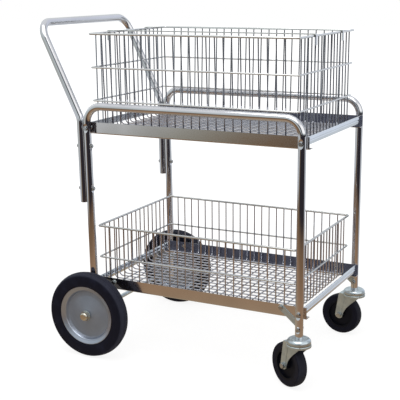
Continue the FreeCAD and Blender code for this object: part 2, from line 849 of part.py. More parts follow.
# Hanger rails: flat strips hooked over the end rims of the upper basket
def hanger(y):
    low = upper_rim + rail_r
    high = low + hanger_sheet
    end = high - hanger_tab
    rear = upper_rear - rail_r
    front = upper_front + rail_r
    outline = [
        (rear - hanger_sheet, end), (rear - hanger_sheet, high),
        (front + hanger_sheet, high), (front + hanger_sheet, end),
        (front, end), (front, low), (rear, low), (rear, end),
    ]
    strip = plate([V(x, y - hanger_width / 2, z) for x, z in outline], V(0, hanger_width, 0))
    corners = [V(rear - hanger_sheet, y, high), V(front + hanger_sheet, y, high)]
    return strip.makeFillet(hanger_bend, edges_at(strip, corners))


write("hanger_rail_right", hanger(-hanger_offset))
write("hanger_rail_left", hanger(hanger_offset))
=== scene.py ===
import json
from math import cos, radians, sin, tan

import bpy
from mathutils import Matrix, Vector

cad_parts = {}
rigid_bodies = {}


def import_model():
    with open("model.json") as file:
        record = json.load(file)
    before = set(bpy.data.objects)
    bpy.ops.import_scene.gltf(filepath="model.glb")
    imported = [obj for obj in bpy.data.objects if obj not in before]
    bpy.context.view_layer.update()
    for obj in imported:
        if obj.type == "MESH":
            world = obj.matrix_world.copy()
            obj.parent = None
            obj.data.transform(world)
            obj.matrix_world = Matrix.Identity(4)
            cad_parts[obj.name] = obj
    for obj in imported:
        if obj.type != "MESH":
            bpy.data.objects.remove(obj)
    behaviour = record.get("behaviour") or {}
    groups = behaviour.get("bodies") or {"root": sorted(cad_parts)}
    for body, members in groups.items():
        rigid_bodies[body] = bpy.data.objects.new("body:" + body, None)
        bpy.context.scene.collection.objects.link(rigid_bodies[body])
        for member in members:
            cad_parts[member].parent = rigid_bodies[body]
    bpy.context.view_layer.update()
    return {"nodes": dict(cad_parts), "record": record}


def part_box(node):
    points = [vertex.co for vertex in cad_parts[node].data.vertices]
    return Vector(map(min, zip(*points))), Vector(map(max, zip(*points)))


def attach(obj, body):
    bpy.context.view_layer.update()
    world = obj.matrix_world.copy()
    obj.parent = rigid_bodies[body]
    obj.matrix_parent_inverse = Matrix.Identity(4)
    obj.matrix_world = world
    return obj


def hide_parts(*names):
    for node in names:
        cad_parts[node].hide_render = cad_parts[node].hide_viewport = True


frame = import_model()

bl_info = {
    "name": "Wire mail cart",
    "version": (1, 0, 0),
    "blender": (4, 5, 0),
    "location": "View3D > Sidebar > Mail cart",
    "description": "Dresses the mail cart's frame with bent wire baskets, wheels, finishes and a studio",
    "category": "Object",
}

SIDES = ("right", "left")
# Baskets, with painted shade on their wires and on their rims and hoops, as shares of the plating's
# brightness
BASKETS_AND_SHADES = {"upper_basket": (0.80, 1.0), "lower_basket": (1.0, 0.78)}
WIRE_PARTS = (
    "_side_wires_right", "_side_wires_left", "_end_wires_front", "_end_wires_rear", "_floor_wires",
)
DULL_NODES = ("brace_straps", "caster_fork_right", "caster_fork_left")
BOLT_NODES = (
    "leg_bolts", "leg_nuts", "strap_bolts", "strap_nuts", "handle_bolts", "handle_nuts",
    "caster_bolt_right", "caster_bolt_left", "caster_nut_right", "caster_nut_left",
)

# The cross bars, with the way along X that their outer face looks
BAR_FACES = {"upper_bar_front": 1, "lower_bar_front": 1, "upper_bar_rear": -1, "lower_bar_rear": 1}
# Section of a cross bar as (distance from its outer face, height) pairs
BAR_FOOT = ((-0.0023, 0.0), (-0.0016, 0.0), (-0.0011, 0.0005))
BAR_GROOVE = ((0.0, 0.0085), (-0.0014, 0.0107), (-0.0014, 0.0113), (0.0, 0.0135))
BAR_BROW = ((-0.0007, 0.0180), (-0.0016, 0.0200), (-0.0032, 0.0210))
BAR_LIP = ((-0.0055, 0.0210), (-0.0055, 0.0187), (-0.0023, 0.0187))
BAR_SECTION = BAR_FOOT + BAR_GROOVE + BAR_BROW + BAR_LIP

# One pressed half of a rear disc as (radius, distance from the wheel's middle) pairs
DISC_BACK = ((0.0100, 0.0111), (0.0575, 0.0), (0.0723, 0.0), (0.07785, 0.0111), (0.0890, 0.0156))
DISC_LIP = ((0.0890, 0.0168), (0.0885, 0.0175), (0.0877, 0.01765), (0.0866, 0.0172))
DISC_STEP = ((0.0804, 0.0135), (0.0796, 0.0130), (0.0776, 0.01275))
DISC_WALL = (
    (0.0765, 0.0122), (0.0757, 0.0112), (0.0750, 0.0099),
    (0.0722, 0.0043), (0.0715, 0.0029), (0.0706, 0.00215),
)
DISC_WEB = ((0.0696, 0.0020), (0.0580, 0.0020), (0.0562, 0.0023), (0.0100, 0.0132))
DISC_HALF = DISC_BACK + DISC_LIP + DISC_STEP + DISC_WALL + DISC_WEB

# How finely round shapes are modelled, and how close corners lie that become one
WIRE_SIDES = 8
BEND_STEPS = 3
RING_SEGMENTS = 112
MERGE_GAP = 0.000002

# Stretch of the hairline rubbing, along upright tubes and along the deck angles
UPRIGHT_HAIR = (1.0, 1.0, 0.05)
LENGTHWISE_HAIR = (0.05, 1.0, 1.0)
# Depths into an angle's web, and heights above its foot, over which its inner face's painted shade sets in
SHADE_WEB_FADE = (0.0008, 0.0012)
SHADE_FOOT_FADE = (0.0021, 0.0025)

WHITE = (1.0, 1.0, 1.0)
PALE_FLOOR = (0.9, 0.9, 0.9)
WHITE_SHEET = (1.25, 1.25, 1.25)


class CartSizes(bpy.types.PropertyGroup):
    """Sizes of the pieces that are modelled here."""

    wire_thickness: bpy.props.FloatProperty(
        name="Wire thickness", description="Diameter of the upright and floor wires",
        default=0.0039, unit="LENGTH")
    wire_bend: bpy.props.FloatProperty(
        name="Wire bend", description="Radius of the wire where the wall turns into the floor",
        default=0.0102, unit="LENGTH")
    wire_pitch: bpy.props.FloatProperty(
        name="Wire pitch", description="Distance from wire to wire", default=0.0254, unit="LENGTH")
    side_wires: bpy.props.IntProperty(
        name="Side wires", description="Wires along each long side of a basket", default=23)
    end_wires: bpy.props.IntProperty(
        name="End wires", description="Wires across each end of a basket", default=16)
    tread_ribs: bpy.props.IntProperty(
        name="Tread ribs", description="Ribs round the tread of a rear tyre", default=4)
    groove_depth: bpy.props.FloatProperty(
        name="Groove depth", description="Depth of the grooves between the ribs",
        default=0.0009, unit="LENGTH")
    groove_width: bpy.props.FloatProperty(
        name="Groove width", description="Width of a groove at the tread", default=0.0019, unit="LENGTH")
    tyre_round: bpy.props.FloatProperty(
        name="Tyre shoulder", description="Rounding between side wall and tread",
        default=0.0079, unit="LENGTH")
    tread_crown: bpy.props.FloatProperty(
        name="Tread crown", description="Rise of the tread from its edges to its middle",
        default=0.0028, unit="LENGTH")
    tyre_seat: bpy.props.FloatProperty(
        name="Tyre seat", description="Depth of the tyre's foot below the disc's lip",
        default=0.0167, unit="LENGTH")


class CartColours(bpy.types.PropertyGroup):
    """Colours of the finishes."""

    chrome: bpy.props.FloatVectorProperty(
        name="Chrome", description="Plating on the bent tubes", subtype="COLOR", default=(0.74, 0.74, 0.76))
    angle: bpy.props.FloatVectorProperty(
        name="Angles", description="Plating on the deck angles", subtype="COLOR", default=(0.73, 0.71, 0.69))
    # Painted shade: dark blue-grey on the deck angles' inner faces, standing in for the shaded inside of the
    # cart that they mirror
    inside: bpy.props.FloatVectorProperty(
        name="Inside of the angles", description="Thin dull plating on the inner faces of the deck angles",
        subtype="COLOR", default=(0.13, 0.14, 0.20))
    wire: bpy.props.FloatVectorProperty(
        name="Wire", description="Plating on the basket wires", subtype="COLOR", default=(0.55, 0.56, 0.61))
    rim: bpy.props.FloatVectorProperty(
        name="Rim wire", description="Plating on the baskets' rims and hoops and on the hanger rails",
        subtype="COLOR", default=(0.81, 0.81, 0.79))
    bolt: bpy.props.FloatVectorProperty(
        name="Bolts", description="Zinc on bolts and nuts", subtype="COLOR", default=(0.52, 0.54, 0.55))
    bar: bpy.props.FloatVectorProperty(
        name="Cross bars", description="Plating on the cross bars", subtype="COLOR",
        default=(0.80, 0.84, 0.87))
    zinc: bpy.props.FloatVectorProperty(
        name="Bright zinc", description="Zinc on races and axle pieces", subtype="COLOR",
        default=(0.64, 0.72, 0.76))
    dull_zinc: bpy.props.FloatVectorProperty(
        name="Dull zinc", description="Zinc on forks and straps", subtype="COLOR",
        default=(0.62, 0.69, 0.70))
    disc: bpy.props.FloatVectorProperty(
        name="Wheel disc", description="Pressed steel of the rear wheels", subtype="COLOR",
        default=(0.28, 0.31, 0.365))
    lip: bpy.props.FloatVectorProperty(
        name="Disc lip", description="Brighter rolled edge of the wheel discs", subtype="COLOR",
        default=(0.43, 0.47, 0.55))
    brass: bpy.props.FloatVectorProperty(
        name="Cap nut", description="Yellow zinc on the cap nuts", subtype="COLOR",
        default=(0.72, 0.68, 0.57))
    rubber: bpy.props.FloatVectorProperty(
        name="Rubber", description="Rubber of all the tyres", subtype="COLOR", default=(0.005, 0.006, 0.016))
    tread: bpy.props.FloatVectorProperty(
        name="Tread", description="Dusty rubber where the tyres roll", subtype="COLOR",
        default=(0.027, 0.029, 0.047))
    core: bpy.props.FloatVectorProperty(
        name="Caster core", description="Moulded centre of the caster wheels", subtype="COLOR",
        default=(0.005, 0.0055, 0.010))


class CartStage(bpy.types.PropertyGroup):
    """The studio."""

    azimuth: bpy.props.FloatProperty(
        name="Azimuth", description="Turn of the camera round the cart", default=radians(27.33),
        subtype="ANGLE")
    elevation: bpy.props.FloatProperty(
        name="Elevation", description="Height of the camera as an angle", default=radians(12.96),
        subtype="ANGLE")
    roll: bpy.props.FloatProperty(
        name="Roll", description="Tilt of the picture", default=radians(-0.48), subtype="ANGLE")
    distance: bpy.props.FloatProperty(
        name="Distance", description="Camera to target", default=2.8815, unit="LENGTH")
    target: bpy.props.FloatVectorProperty(
        name="Target", description="Point in the middle of the picture", subtype="XYZ",
        default=(-0.02256, 0.0, 0.4430))
    lens: bpy.props.FloatProperty(
        name="Lens", description="Focal length in millimetres on a 36 mm sensor", default=85.29)
    key: bpy.props.FloatProperty(
        name="Key lamp", description="Power of the large lamp overhead", default=46.0, unit="POWER")
    fill: bpy.props.FloatProperty(
        name="Fill light", description="Strength of the even light from all round", default=0.55)
    shade: bpy.props.FloatProperty(
        name="Shadow", description="Share of true shadow on the floor near the cart", default=0.26)
    card_near: bpy.props.FloatVectorProperty(
        name="Near card", description="Floor reflected close to the cart", subtype="COLOR",
        default=(0.42, 0.335, 0.24))
    card_mid: bpy.props.FloatVectorProperty(
        name="Middle card", description="Floor reflected in front of the cart", subtype="COLOR",
        default=(0.35, 0.22, 0.135))
    card_tan: bpy.props.FloatVectorProperty(
        name="Tan card", description="Floor reflected further out", subtype="COLOR",
        default=(0.225, 0.138, 0.078))
    card_dark: bpy.props.FloatVectorProperty(
        name="Dark card", description="Dark floor beyond the tan one", subtype="COLOR",
        default=(0.030, 0.026, 0.032))
    card_olive: bpy.props.FloatVectorProperty(
        name="Olive card", description="Floor reflected at the left", subtype="COLOR",
        default=(0.29, 0.285, 0.235))
    card_pale: bpy.props.FloatVectorProperty(
        name="Pale card", description="Floor reflected behind the cart", subtype="COLOR",
        default=(0.61, 0.64, 0.68))
    card_grey: bpy.props.FloatVectorProperty(
        name="Grey card", description="Floor reflected far out at the left", subtype="COLOR",
        default=(0.49, 0.51, 0.48))
    dome_low: bpy.props.FloatVectorProperty(
        name="Low sky", description="Backdrop reflected near the floor", subtype="COLOR",
        default=(0.57, 0.63, 0.64))
    dome_high: bpy.props.FloatVectorProperty(
        name="High sky", description="Backdrop reflected overhead", subtype="COLOR",
        default=(0.86, 0.88, 0.91))
    dome_behind: bpy.props.FloatVectorProperty(
        name="Sky behind", description="Backdrop reflected behind the cart at the right", subtype="COLOR",
        default=(0.76, 0.80, 0.92))


class Flow:
    """A shader value whose arithmetic adds Math nodes."""

    def __init__(self, graph, socket):
        self.graph = graph
        self.socket = socket

    def math(self, operation, first, second=0.0):
        return self.graph.node("ShaderNodeMath", {"operation": operation}, {0: first, 1: second})

    def __add__(self, other):
        return self.math("ADD", self, other)

    def __sub__(self, other):
        return self.math("SUBTRACT", self, other)

    def __rsub__(self, other):
        return self.math("SUBTRACT", other, self)

    def __mul__(self, other):
        return self.math("MULTIPLY", self, other)

    __radd__ = __add__
    __rmul__ = __mul__

    def absolute(self):
        return self.math("ABSOLUTE", self)

    def clamp(self):
        return self.graph.node("ShaderNodeClamp", {}, {"Value": self})


class Graph:
    """The nodes of one finish."""

    def __init__(self, name):
        self.material = bpy.data.materials.new(name)
        self.material.use_nodes = True
        self.tree = self.material.node_tree
        self.tree.nodes.clear()
        self.shader = self.tree.nodes.new("ShaderNodeBsdfPrincipled")
        self.output = self.tree.nodes.new("ShaderNodeOutputMaterial")
        self.surface(self.shader.outputs[0])

    def surface(self, socket):
        self.tree.links.new(socket, self.output.inputs["Surface"])
        return self.material

    def put(self, node, key, value):
        socket = node.inputs[key]
        if isinstance(value, Flow):
            self.tree.links.new(value.socket, socket)
        elif socket.type == "RGBA" and len(value) == 3:
            socket.default_value = (*value, 1.0)
        else:
            socket.default_value = value

    def node(self, kind, settings, sockets, output=0):
        node = self.tree.nodes.new(kind)
        for key, value in settings.items():
            setattr(node, key, value)
        for key, value in sockets.items():
            self.put(node, key, value)
        return Flow(self, node.outputs[output])

    def place(self):
        return self.node("ShaderNodeTexCoord", {}, {}, "Object")

    def part(self, axis):
        """The place along one axis, named X, Y or Z."""
        return self.node("ShaderNodeSeparateXYZ", {}, {0: self.place()}, axis)

    def vector(self, operation, first, second, output=0):
        return self.node("ShaderNodeVectorMath", {"operation": operation}, {0: first, 1: second}, output)

    def length(self, value):
        return self.node("ShaderNodeVectorMath", {"operation": "LENGTH"}, {0: value}, "Value")

    def noise(self, scale, detail=4.0, stretch=(1.0, 1.0, 1.0)):
        where = self.node("ShaderNodeMapping", {}, {"Vector": self.place(), "Scale": stretch})
        return self.node("ShaderNodeTexNoise", {}, {"Vector": where, "Scale": scale, "Detail": detail}, "Fac")

    def ramp(self, value, low, high):
        """Rises from 0 at low to 1 at high."""
        return self.node(
            "ShaderNodeMapRange", {"clamp": True}, {"Value": value, "From Min": low, "From Max": high})

    def between(self, value, start, full, fading, gone):
        """Rises from start to full and falls again from fading to gone."""
        return self.ramp(value, start, full) * (1 - self.ramp(value, fading, gone))

    def mix(self, factor, first, second):
        return self.node("ShaderNodeMix", {"data_type": "RGBA"}, {0: factor, 6: first, 7: second}, 2)

    def bump(self, height, distance, strength):
        return self.node(
            "ShaderNodeBump", {}, {"Height": height, "Distance": distance, "Strength": strength})

    def glow(self, colour, strength=1.0):
        return self.node("ShaderNodeEmission", {}, {"Color": colour, "Strength": strength})

    def set(self, **sockets):
        for key, value in sockets.items():
            self.put(self.shader, key.replace("_", " "), value)
        return self.material


def darker(colour, share):
    return tuple(channel * share for channel in colour)


def plating(g, colour, stretch):
    """Haze in clouds, hairline rubbing and the tone of bright plating."""
    cloud = g.ramp(g.noise(scale=9.0), low=0.35, high=0.7)
    hair = g.noise(scale=900.0, detail=2.0, stretch=stretch)
    return cloud, hair, g.mix(cloud, colour, darker(colour, share=0.9))


def hairlines(g, hair):
    return g.bump(hair, distance=0.00002, strength=0.25)


def chrome_finish(name, colour, shine, haze):
    """Bright plating with faint haze and hairline rubbing."""
    g = Graph(name)
    cloud, hair, tone = plating(g, colour, UPRIGHT_HAIR)
    return g.set(
        Base_Color=tone, Metallic=1.0, Roughness=cloud * haze + hair * (haze * 0.5) + shine,
        Normal=hairlines(g, hair))


def angle_plating_with_painted_shade(name, colour, inside, outer, foot, shine, haze):
    """Bright plating outside; on the web's inner face, above the foot, a dull blue-grey painted shade."""
    g = Graph(name)
    cloud, hair, tone = plating(g, colour, LENGTHWISE_HAIR)
    # Mask of the painted shade on the web's inner face, above the foot
    inner = g.ramp(g.part("Y").absolute(), outer - SHADE_WEB_FADE[0], outer - SHADE_WEB_FADE[1])
    inner = inner * g.ramp(g.part("Z"), foot + SHADE_FOOT_FADE[0], foot + SHADE_FOOT_FADE[1])
    # The painted shade: dull blue-grey standing in for the shaded inside of the cart that the inner face
    # mirrors
    dull = g.mix(cloud, inside, darker(inside, share=0.8))
    return g.set(
        Base_Color=g.mix(inner, tone, dull), Metallic=1 - inner * 0.6,
        Roughness=cloud * haze + hair * (haze * 0.5) + inner * 0.3 + shine, Normal=hairlines(g, hair))


def zinc_finish(name, colour, shine):
    """Zinc plate with the soft bloom of its crystals."""
    g = Graph(name)
    bloom = g.ramp(g.noise(scale=55.0, detail=5.0), low=0.3, high=0.7)
    speck = g.noise(scale=420.0, detail=3.0)
    return g.set(
        Base_Color=g.mix(bloom, colour, darker(colour, share=0.8)), Metallic=1.0,
        Roughness=bloom * 0.14 + speck * 0.08 + shine, Normal=g.bump(speck, distance=0.00006, strength=0.4))


def from_centre(g, centre, kept):
    """Distance of a point from the centre, along the kept directions only."""
    offset = g.vector("SUBTRACT", g.place(), centre)
    return g.length(g.vector("MULTIPLY", offset, kept))


def rubber_finish(name, colour, tread, centre, radius):
    """Black rubber, smooth on the side walls, scuffed and dusty on the tread."""
    g = Graph(name)
    rolled = g.ramp(from_centre(g, centre, (1.0, 1.0, 1.0)), low=radius * 0.945, high=radius * 0.975)
    scuff = g.ramp(g.noise(scale=38.0, detail=6.0), low=0.5, high=0.8)
    grain = g.noise(scale=700.0, detail=3.0)
    scuffed = tuple(channel * 1.6 + 0.002 for channel in colour)
    wall = g.mix(scuff, colour, scuffed)
    crown = g.mix(scuff, tread, darker(tread, share=1.3))
    return g.set(
        Base_Color=g.mix(rolled, wall, crown), Roughness=rolled * 0.2 + scuff * 0.1 + grain * 0.08 + 0.4,
        Specular_IOR_Level=0.14, Normal=g.bump(grain, distance=0.00012, strength=0.5))


def disc_finish(name, colour, lip, centre):
    """Dull pressed sheet, lightly turned round the hub, with a brighter lip."""
    g = Graph(name)
    radius = from_centre(g, centre, (1.0, 0.0, 1.0))
    turned = radius * 5200.0
    rings = turned.math("SINE", turned)
    cloud = g.ramp(g.noise(scale=30.0, detail=5.0), low=0.3, high=0.75)
    edge = g.ramp(radius, low=0.0715, high=0.0745)
    sheet = g.mix(cloud, colour, darker(colour, share=0.88))
    return g.set(
        Base_Color=g.mix(edge, sheet, lip), Metallic=edge * 0.35 + 0.6,
        Roughness=cloud * 0.06 - edge * 0.17 + 0.45,
        Normal=g.bump(rings * 0.5 + cloud, distance=0.00002, strength=0.3))


def moulded_finish(name, colour):
    """Dark moulded plastic."""
    g = Graph(name)
    grain = g.noise(scale=500.0, detail=3.0)
    cloud = g.ramp(g.noise(scale=20.0), low=0.4, high=0.7)
    return g.set(
        Base_Color=g.mix(cloud, colour, darker(colour, share=1.5)), Roughness=grain * 0.12 + 0.42,
        Specular_IOR_Level=0.12, Normal=g.bump(grain, distance=0.00008, strength=0.4))


def white_stage(name, colour, shade):
    """Lit from itself for the camera and in reflections, with a share of true shadow round the cart."""
    g = Graph(name)
    g.set(Base_Color=colour, Roughness=0.9)
    ray = g.tree.nodes.new("ShaderNodeLightPath")
    seen = Flow(g, ray.outputs["Is Camera Ray"])
    seen = seen + Flow(g, ray.outputs["Is Glossy Ray"]) + Flow(g, ray.outputs["Is Transmission Ray"])
    near_cart = 1 - g.ramp(g.length(g.place()), low=0.7, high=1.6)
    share = (seen * (1 - near_cart * shade)).clamp()
    make_up = shade * 0.7
    glow = g.glow(WHITE, strength=1.0 + make_up)
    blend = g.node("ShaderNodeMixShader", {}, {0: share, 1: Flow(g, g.shader.outputs[0]), 2: glow})
    return g.surface(blend.socket)


def studio_card(name, stage):
    """What the plating mirrors: tan floor round the cart, dark beyond it, olive at the left, pale behind."""
    g = Graph(name)
    away = g.length(g.place())
    leftward = g.part("Y") * 0.17 - g.part("X") * 0.985
    far = g.mix(g.ramp(leftward, low=0.0, high=0.45), stage.card_dark, darker(stage.card_tan, share=0.8))
    far = g.mix(g.ramp(leftward, low=0.65, high=1.2), far, stage.card_olive)
    far = g.mix(g.ramp(leftward, low=1.3, high=1.9), far, stage.card_pale)
    far = g.mix(g.ramp(leftward, low=2.6, high=3.2), far, stage.card_grey)
    near = g.mix(g.ramp(away, low=0.45, high=1.0), stage.card_near, stage.card_mid)
    near = g.mix(g.ramp(away, low=1.1, high=1.6), near, stage.card_tan)
    colour = g.mix(g.ramp(away, low=1.75, high=2.3), near, far)
    colour = g.mix(g.ramp(g.part("Y"), low=0.3, high=0.9), colour, stage.card_pale)
    return g.surface(g.glow(colour).socket)


def studio_dome(name, stage):
    """What the plating mirrors above the floor: pale sky, paler behind the cart at the right, a white sheet
    right of the camera, and dark patches: a gap and a ridge at the camera, a foot and a post at the right."""
    g = Graph(name)
    way = g.node("ShaderNodeVectorMath", {"operation": "NORMALIZE"}, {0: g.place()})

    def along(x, y, z):
        return g.vector("DOT_PRODUCT", way, (x, y, z), "Value")

    toward = along(sin(stage.azimuth), -cos(stage.azimuth), 0.0)
    right = along(cos(stage.azimuth), sin(stage.azimuth), 0.0)
    height = along(0.0, 0.0, 1.0)
    front = g.ramp(toward, low=-0.5, high=-0.2)
    sky = g.mix(g.ramp(height, low=0.15, high=0.75), stage.dome_low, stage.dome_high)
    sheet = g.ramp(right, low=0.16, high=0.28) * g.ramp(toward, low=-0.05, high=0.15)
    sheet = sheet * g.between(height, 0.12, 0.2, 0.62, 0.7)
    sky = g.mix(sheet, sky, WHITE_SHEET)
    behind = g.ramp(toward, low=-0.35, high=-0.5) * g.ramp(right, low=0.2, high=0.5)
    sky = g.mix(behind * 0.8, sky, stage.dome_behind)
    foot = g.ramp(right, low=0.1, high=0.3) * g.ramp(height, low=0.13, high=0.05)
    gap = g.ramp(right.absolute(), low=0.24, high=0.12) * g.ramp(height, low=0.45, high=0.3)
    ridge = g.between(right, -0.45, -0.3, 0.03, 0.12) * g.between(height, 0.22, 0.26, 0.46, 0.52) * 0.75
    post = g.between(toward, -0.45, -0.38, -0.18, -0.08) * g.ramp(right, low=0.5, high=0.6) * 0.5
    dark = ((foot + gap + ridge) * front + post).clamp()
    return g.surface(g.glow(g.mix(dark, sky, stage.card_dark)).socket)


def dress(obj, material):
    obj.data.materials.clear()
    obj.data.materials.append(material)


def deselect():
    if bpy.context.object and bpy.context.object.mode != "OBJECT":
        bpy.ops.object.mode_set(mode="OBJECT")
    bpy.ops.object.select_all(action="DESELECT")


def pick(obj):
    deselect()
    obj.select_set(True)
    bpy.context.view_layer.objects.active = obj


def start_shaping(name):
    """Names the primitive that was just added, puts its place into the mesh and selects it in edit mode."""
    obj = bpy.context.object
    obj.name = name
    obj.data.name = name
    bpy.ops.object.transform_apply(location=True, rotation=True, scale=True)
    bpy.ops.object.mode_set(mode="EDIT")
    bpy.ops.mesh.select_all(action="SELECT")
    return obj


def extrude(step):
    bpy.ops.mesh.extrude_region_move(TRANSFORM_OT_translate={"value": step})


def settle(obj, angle=40.0):
    """Puts the place into the mesh, turns the faces outwards and smooths edges flatter than the angle."""
    pick(obj)
    bpy.ops.object.transform_apply(location=True, rotation=True, scale=True)
    bpy.ops.object.mode_set(mode="EDIT")
    bpy.ops.mesh.select_all(action="SELECT")
    bpy.ops.mesh.remove_doubles(threshold=MERGE_GAP)
    bpy.ops.mesh.normals_make_consistent(inside=False)
    bpy.ops.object.mode_set(mode="OBJECT")
    bpy.ops.object.shade_smooth_by_angle(angle=radians(angle))
    return obj


def join(objs, name):
    deselect()
    for obj in objs:
        obj.select_set(True)
    bpy.context.view_layer.objects.active = objs[0]
    bpy.ops.object.join()
    joined = bpy.context.object
    joined.name = name
    joined.data.name = name
    return joined


def spread(count, pitch, centre=0.0):
    """Evenly spaced places about a centre."""
    return [centre + (k - (count - 1) / 2) * pitch for k in range(count)]


def repeat(obj, shifts, name):
    """Copies of one modelled piece, each with its own mesh, joined under one name."""
    copies = []
    for shift in shifts:
        copy = obj.copy()
        copy.data = obj.data.copy()
        copy.location = obj.location + Vector(shift)
        bpy.context.collection.objects.link(copy)
        copies.append(copy)
    bpy.data.objects.remove(obj)
    return join(copies, name)


def corners(node):
    low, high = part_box(node)
    return Vector(low), Vector(high)


def middle(node):
    low, high = corners(node)
    return (low + high) / 2


def bent_wire(name, start, wall, floor, thickness, bend, axis):
    """One wire: down a wall, round the bend, along the floor and up the other wall.

    start is the top of the first wall, wall its run down to the floor's corner, floor the run across,
    and axis the line that the bends turn about."""
    down = wall.normalized()
    across = floor.normalized()
    turn = down.angle(across)
    reach = bend * tan(turn / 2)
    deselect()
    bpy.ops.mesh.primitive_circle_add(
        vertices=WIRE_SIDES, radius=thickness / 2, fill_type="NOTHING", location=start,
        rotation=Vector((0, 0, 1)).rotation_difference(down).to_euler())
    wire = start_shaping(name)
    bpy.ops.mesh.edge_face_add()
    extrude(wall - down * reach)
    inward = (across - across.project(down)).normalized()
    first_centre = start + wall - down * reach + inward * bend
    bpy.ops.mesh.spin(steps=BEND_STEPS, angle=turn, center=first_centre, axis=axis)
    extrude(floor - across * (2 * reach))
    upward = (down.project(across) - down).normalized()
    last_centre = start + wall + floor - across * reach + upward * bend
    bpy.ops.mesh.spin(steps=BEND_STEPS, angle=turn, center=last_centre, axis=axis)
    climb = Vector((wall.x, wall.y, -wall.z))
    extrude(climb - climb.normalized() * reach)
    bpy.ops.object.mode_set(mode="OBJECT")
    return wire


class CART_OT_basket_wires(bpy.types.Operator):
    """Eight-sided wires bent to a U, lengthwise and across, in place of the straight ones of a basket"""

    bl_idname = "cart.basket_wires"
    bl_label = "Basket wires"

    def execute(self, context):
        sizes = context.scene.cart_sizes
        colours = context.scene.cart_colours
        thickness, bend, pitch = sizes.wire_thickness, sizes.wire_bend, sizes.wire_pitch
        for basket, (wire_shade_share, rim_shade_share) in BASKETS_AND_SHADES.items():
            rim_low, rim_high = corners(basket + "_rim")
            floor_low, floor_high = corners(basket + "_floor_wires")
            wall_low, wall_high = corners(basket + "_side_wires_left")
            end_low, end_high = corners(basket + "_end_wires_front")
            centre = (rim_low.x + rim_high.x) / 2
            rim = (rim_low.z + rim_high.z) / 2
            layer = (floor_high.z - floor_low.z) / 4
            cross_height = floor_low.z + thickness / 2
            long_height = cross_height + 2 * layer

            side_top = wall_high.y - layer
            side_foot = floor_high.y - layer
            wire = bent_wire(
                basket + "_cross_wire", Vector((0, -side_top, rim)),
                Vector((0, side_top - side_foot, cross_height - rim)), Vector((0, 2 * side_foot, 0)),
                thickness, bend, (-1, 0, 0))
            shifts = [(x, 0, 0) for x in spread(sizes.side_wires, pitch, centre)]
            cross = repeat(wire, shifts, basket + "_cross_wires")

            front = (end_low.x + end_high.x) / 2
            rear = 2 * centre - front
            wire = bent_wire(
                basket + "_long_wire", Vector((rear, 0, rim)), Vector((0, 0, long_height - rim)),
                Vector((front - rear, 0, 0)), thickness, bend, (0, 1, 0))
            shifts = [(0, y, 0) for y in spread(sizes.end_wires, pitch)]
            long = repeat(wire, shifts, basket + "_long_wires")

            wires = settle(join([cross, long], basket + "_wires"))
            # Each basket's wire plating is darkened by its share of painted shade
            finish = chrome_finish(
                basket + " wire plating", darker(colours.wire, wire_shade_share), shine=0.07, haze=0.06)
            dress(wires, finish)
            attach(wires, basket)
            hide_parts(*(basket + part for part in WIRE_PARTS))
            # Each basket's rim plating is darkened by its share of painted shade
            finish = chrome_finish(
                basket + " rim plating", darker(colours.rim, rim_shade_share), shine=0.07, haze=0.06)
            for part in ("_rim", "_hoops"):
                dress(frame["nodes"][basket + part], finish)
        return {"FINISHED"}


def turned_ring(name, centre, outline):
    """A ring turned round the line through the centre along Y: each extruded edge loop is moved and resized
    to the next (radius, distance) pair of a closed outline."""
    deselect()
    radius, distance = outline[0]
    bpy.ops.mesh.primitive_circle_add(
        vertices=RING_SEGMENTS, radius=radius, fill_type="NOTHING",
        location=centre + Vector((0, distance, 0)), rotation=(radians(90), 0, 0))
    ring = start_shaping(name)
    for next_radius, next_distance in outline[1:] + outline[:1]:
        bpy.ops.mesh.extrude_edges_move(
            TRANSFORM_OT_translate={"value": (0, next_distance - distance, 0)})
        share = next_radius / radius
        bpy.ops.transform.resize(value=(share, 1, share), center_override=centre)
        radius, distance = next_radius, next_distance
    bpy.ops.object.mode_set(mode="OBJECT")
    return ring


def tyre_outline(sizes, radius, half, lip):
    """Outline of a tyre as (radius, distance) pairs: seat, side walls, round shoulders, ribbed tread."""
    turn = sizes.tyre_round
    edge = half - turn
    shoulder = radius - sizes.tread_crown - turn
    # Side wall from the disc's lip outwards, then the round shoulder
    wall = [
        (lip, half * 0.76), (lip, half * 0.90), (lip + turn * 0.5, half * 0.965), (lip + turn * 1.5, half),
    ]
    for degrees in (0, 22, 45, 68, 90):
        angle = radians(degrees)
        wall.append((shoulder + turn * sin(angle), edge + turn * cos(angle)))
    # Corners of a groove as shares of its width and of its depth
    groove = ((0.5, 0.0), (0.3, 1.0), (-0.3, 1.0), (-0.5, 0.0))
    tread = []
    for k in range(1, sizes.tread_ribs):
        spot = edge - 2 * edge * k / sizes.tread_ribs
        for aside, drop in groove:
            place = spot + aside * sizes.groove_width
            crown = radius - sizes.tread_crown * (place / edge) ** 2
            tread.append((crown - drop * sizes.groove_depth, place))
    return [(lip - sizes.tyre_seat, 0.0)] + wall + tread + [(r, -d) for r, d in reversed(wall)]


class CART_OT_tyres(bpy.types.Operator):
    """Rear tyres with round shoulders and a ribbed tread, in place of the plain ones"""

    bl_idname = "cart.tyres"
    bl_label = "Rear tyres"

    def execute(self, context):
        colours = context.scene.cart_colours
        for side in SIDES:
            node = "rear_tyre_" + side
            low, high = corners(node)
            disc_low, disc_high = corners("rear_disc_" + side)
            radius, half, lip = (high.z - low.z) / 2, (high.y - low.y) / 2, (disc_high.z - disc_low.z) / 2
            outline = tyre_outline(context.scene.cart_sizes, radius, half, lip)
            tyre = settle(turned_ring(node + "_ribbed", middle(node), outline))
            finish = rubber_finish("tyre rubber " + side, colours.rubber, colours.tread, middle(node), radius)
            dress(tyre, finish)
            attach(tyre, "rear_wheel_" + side)
            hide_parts(node)
        return {"FINISHED"}


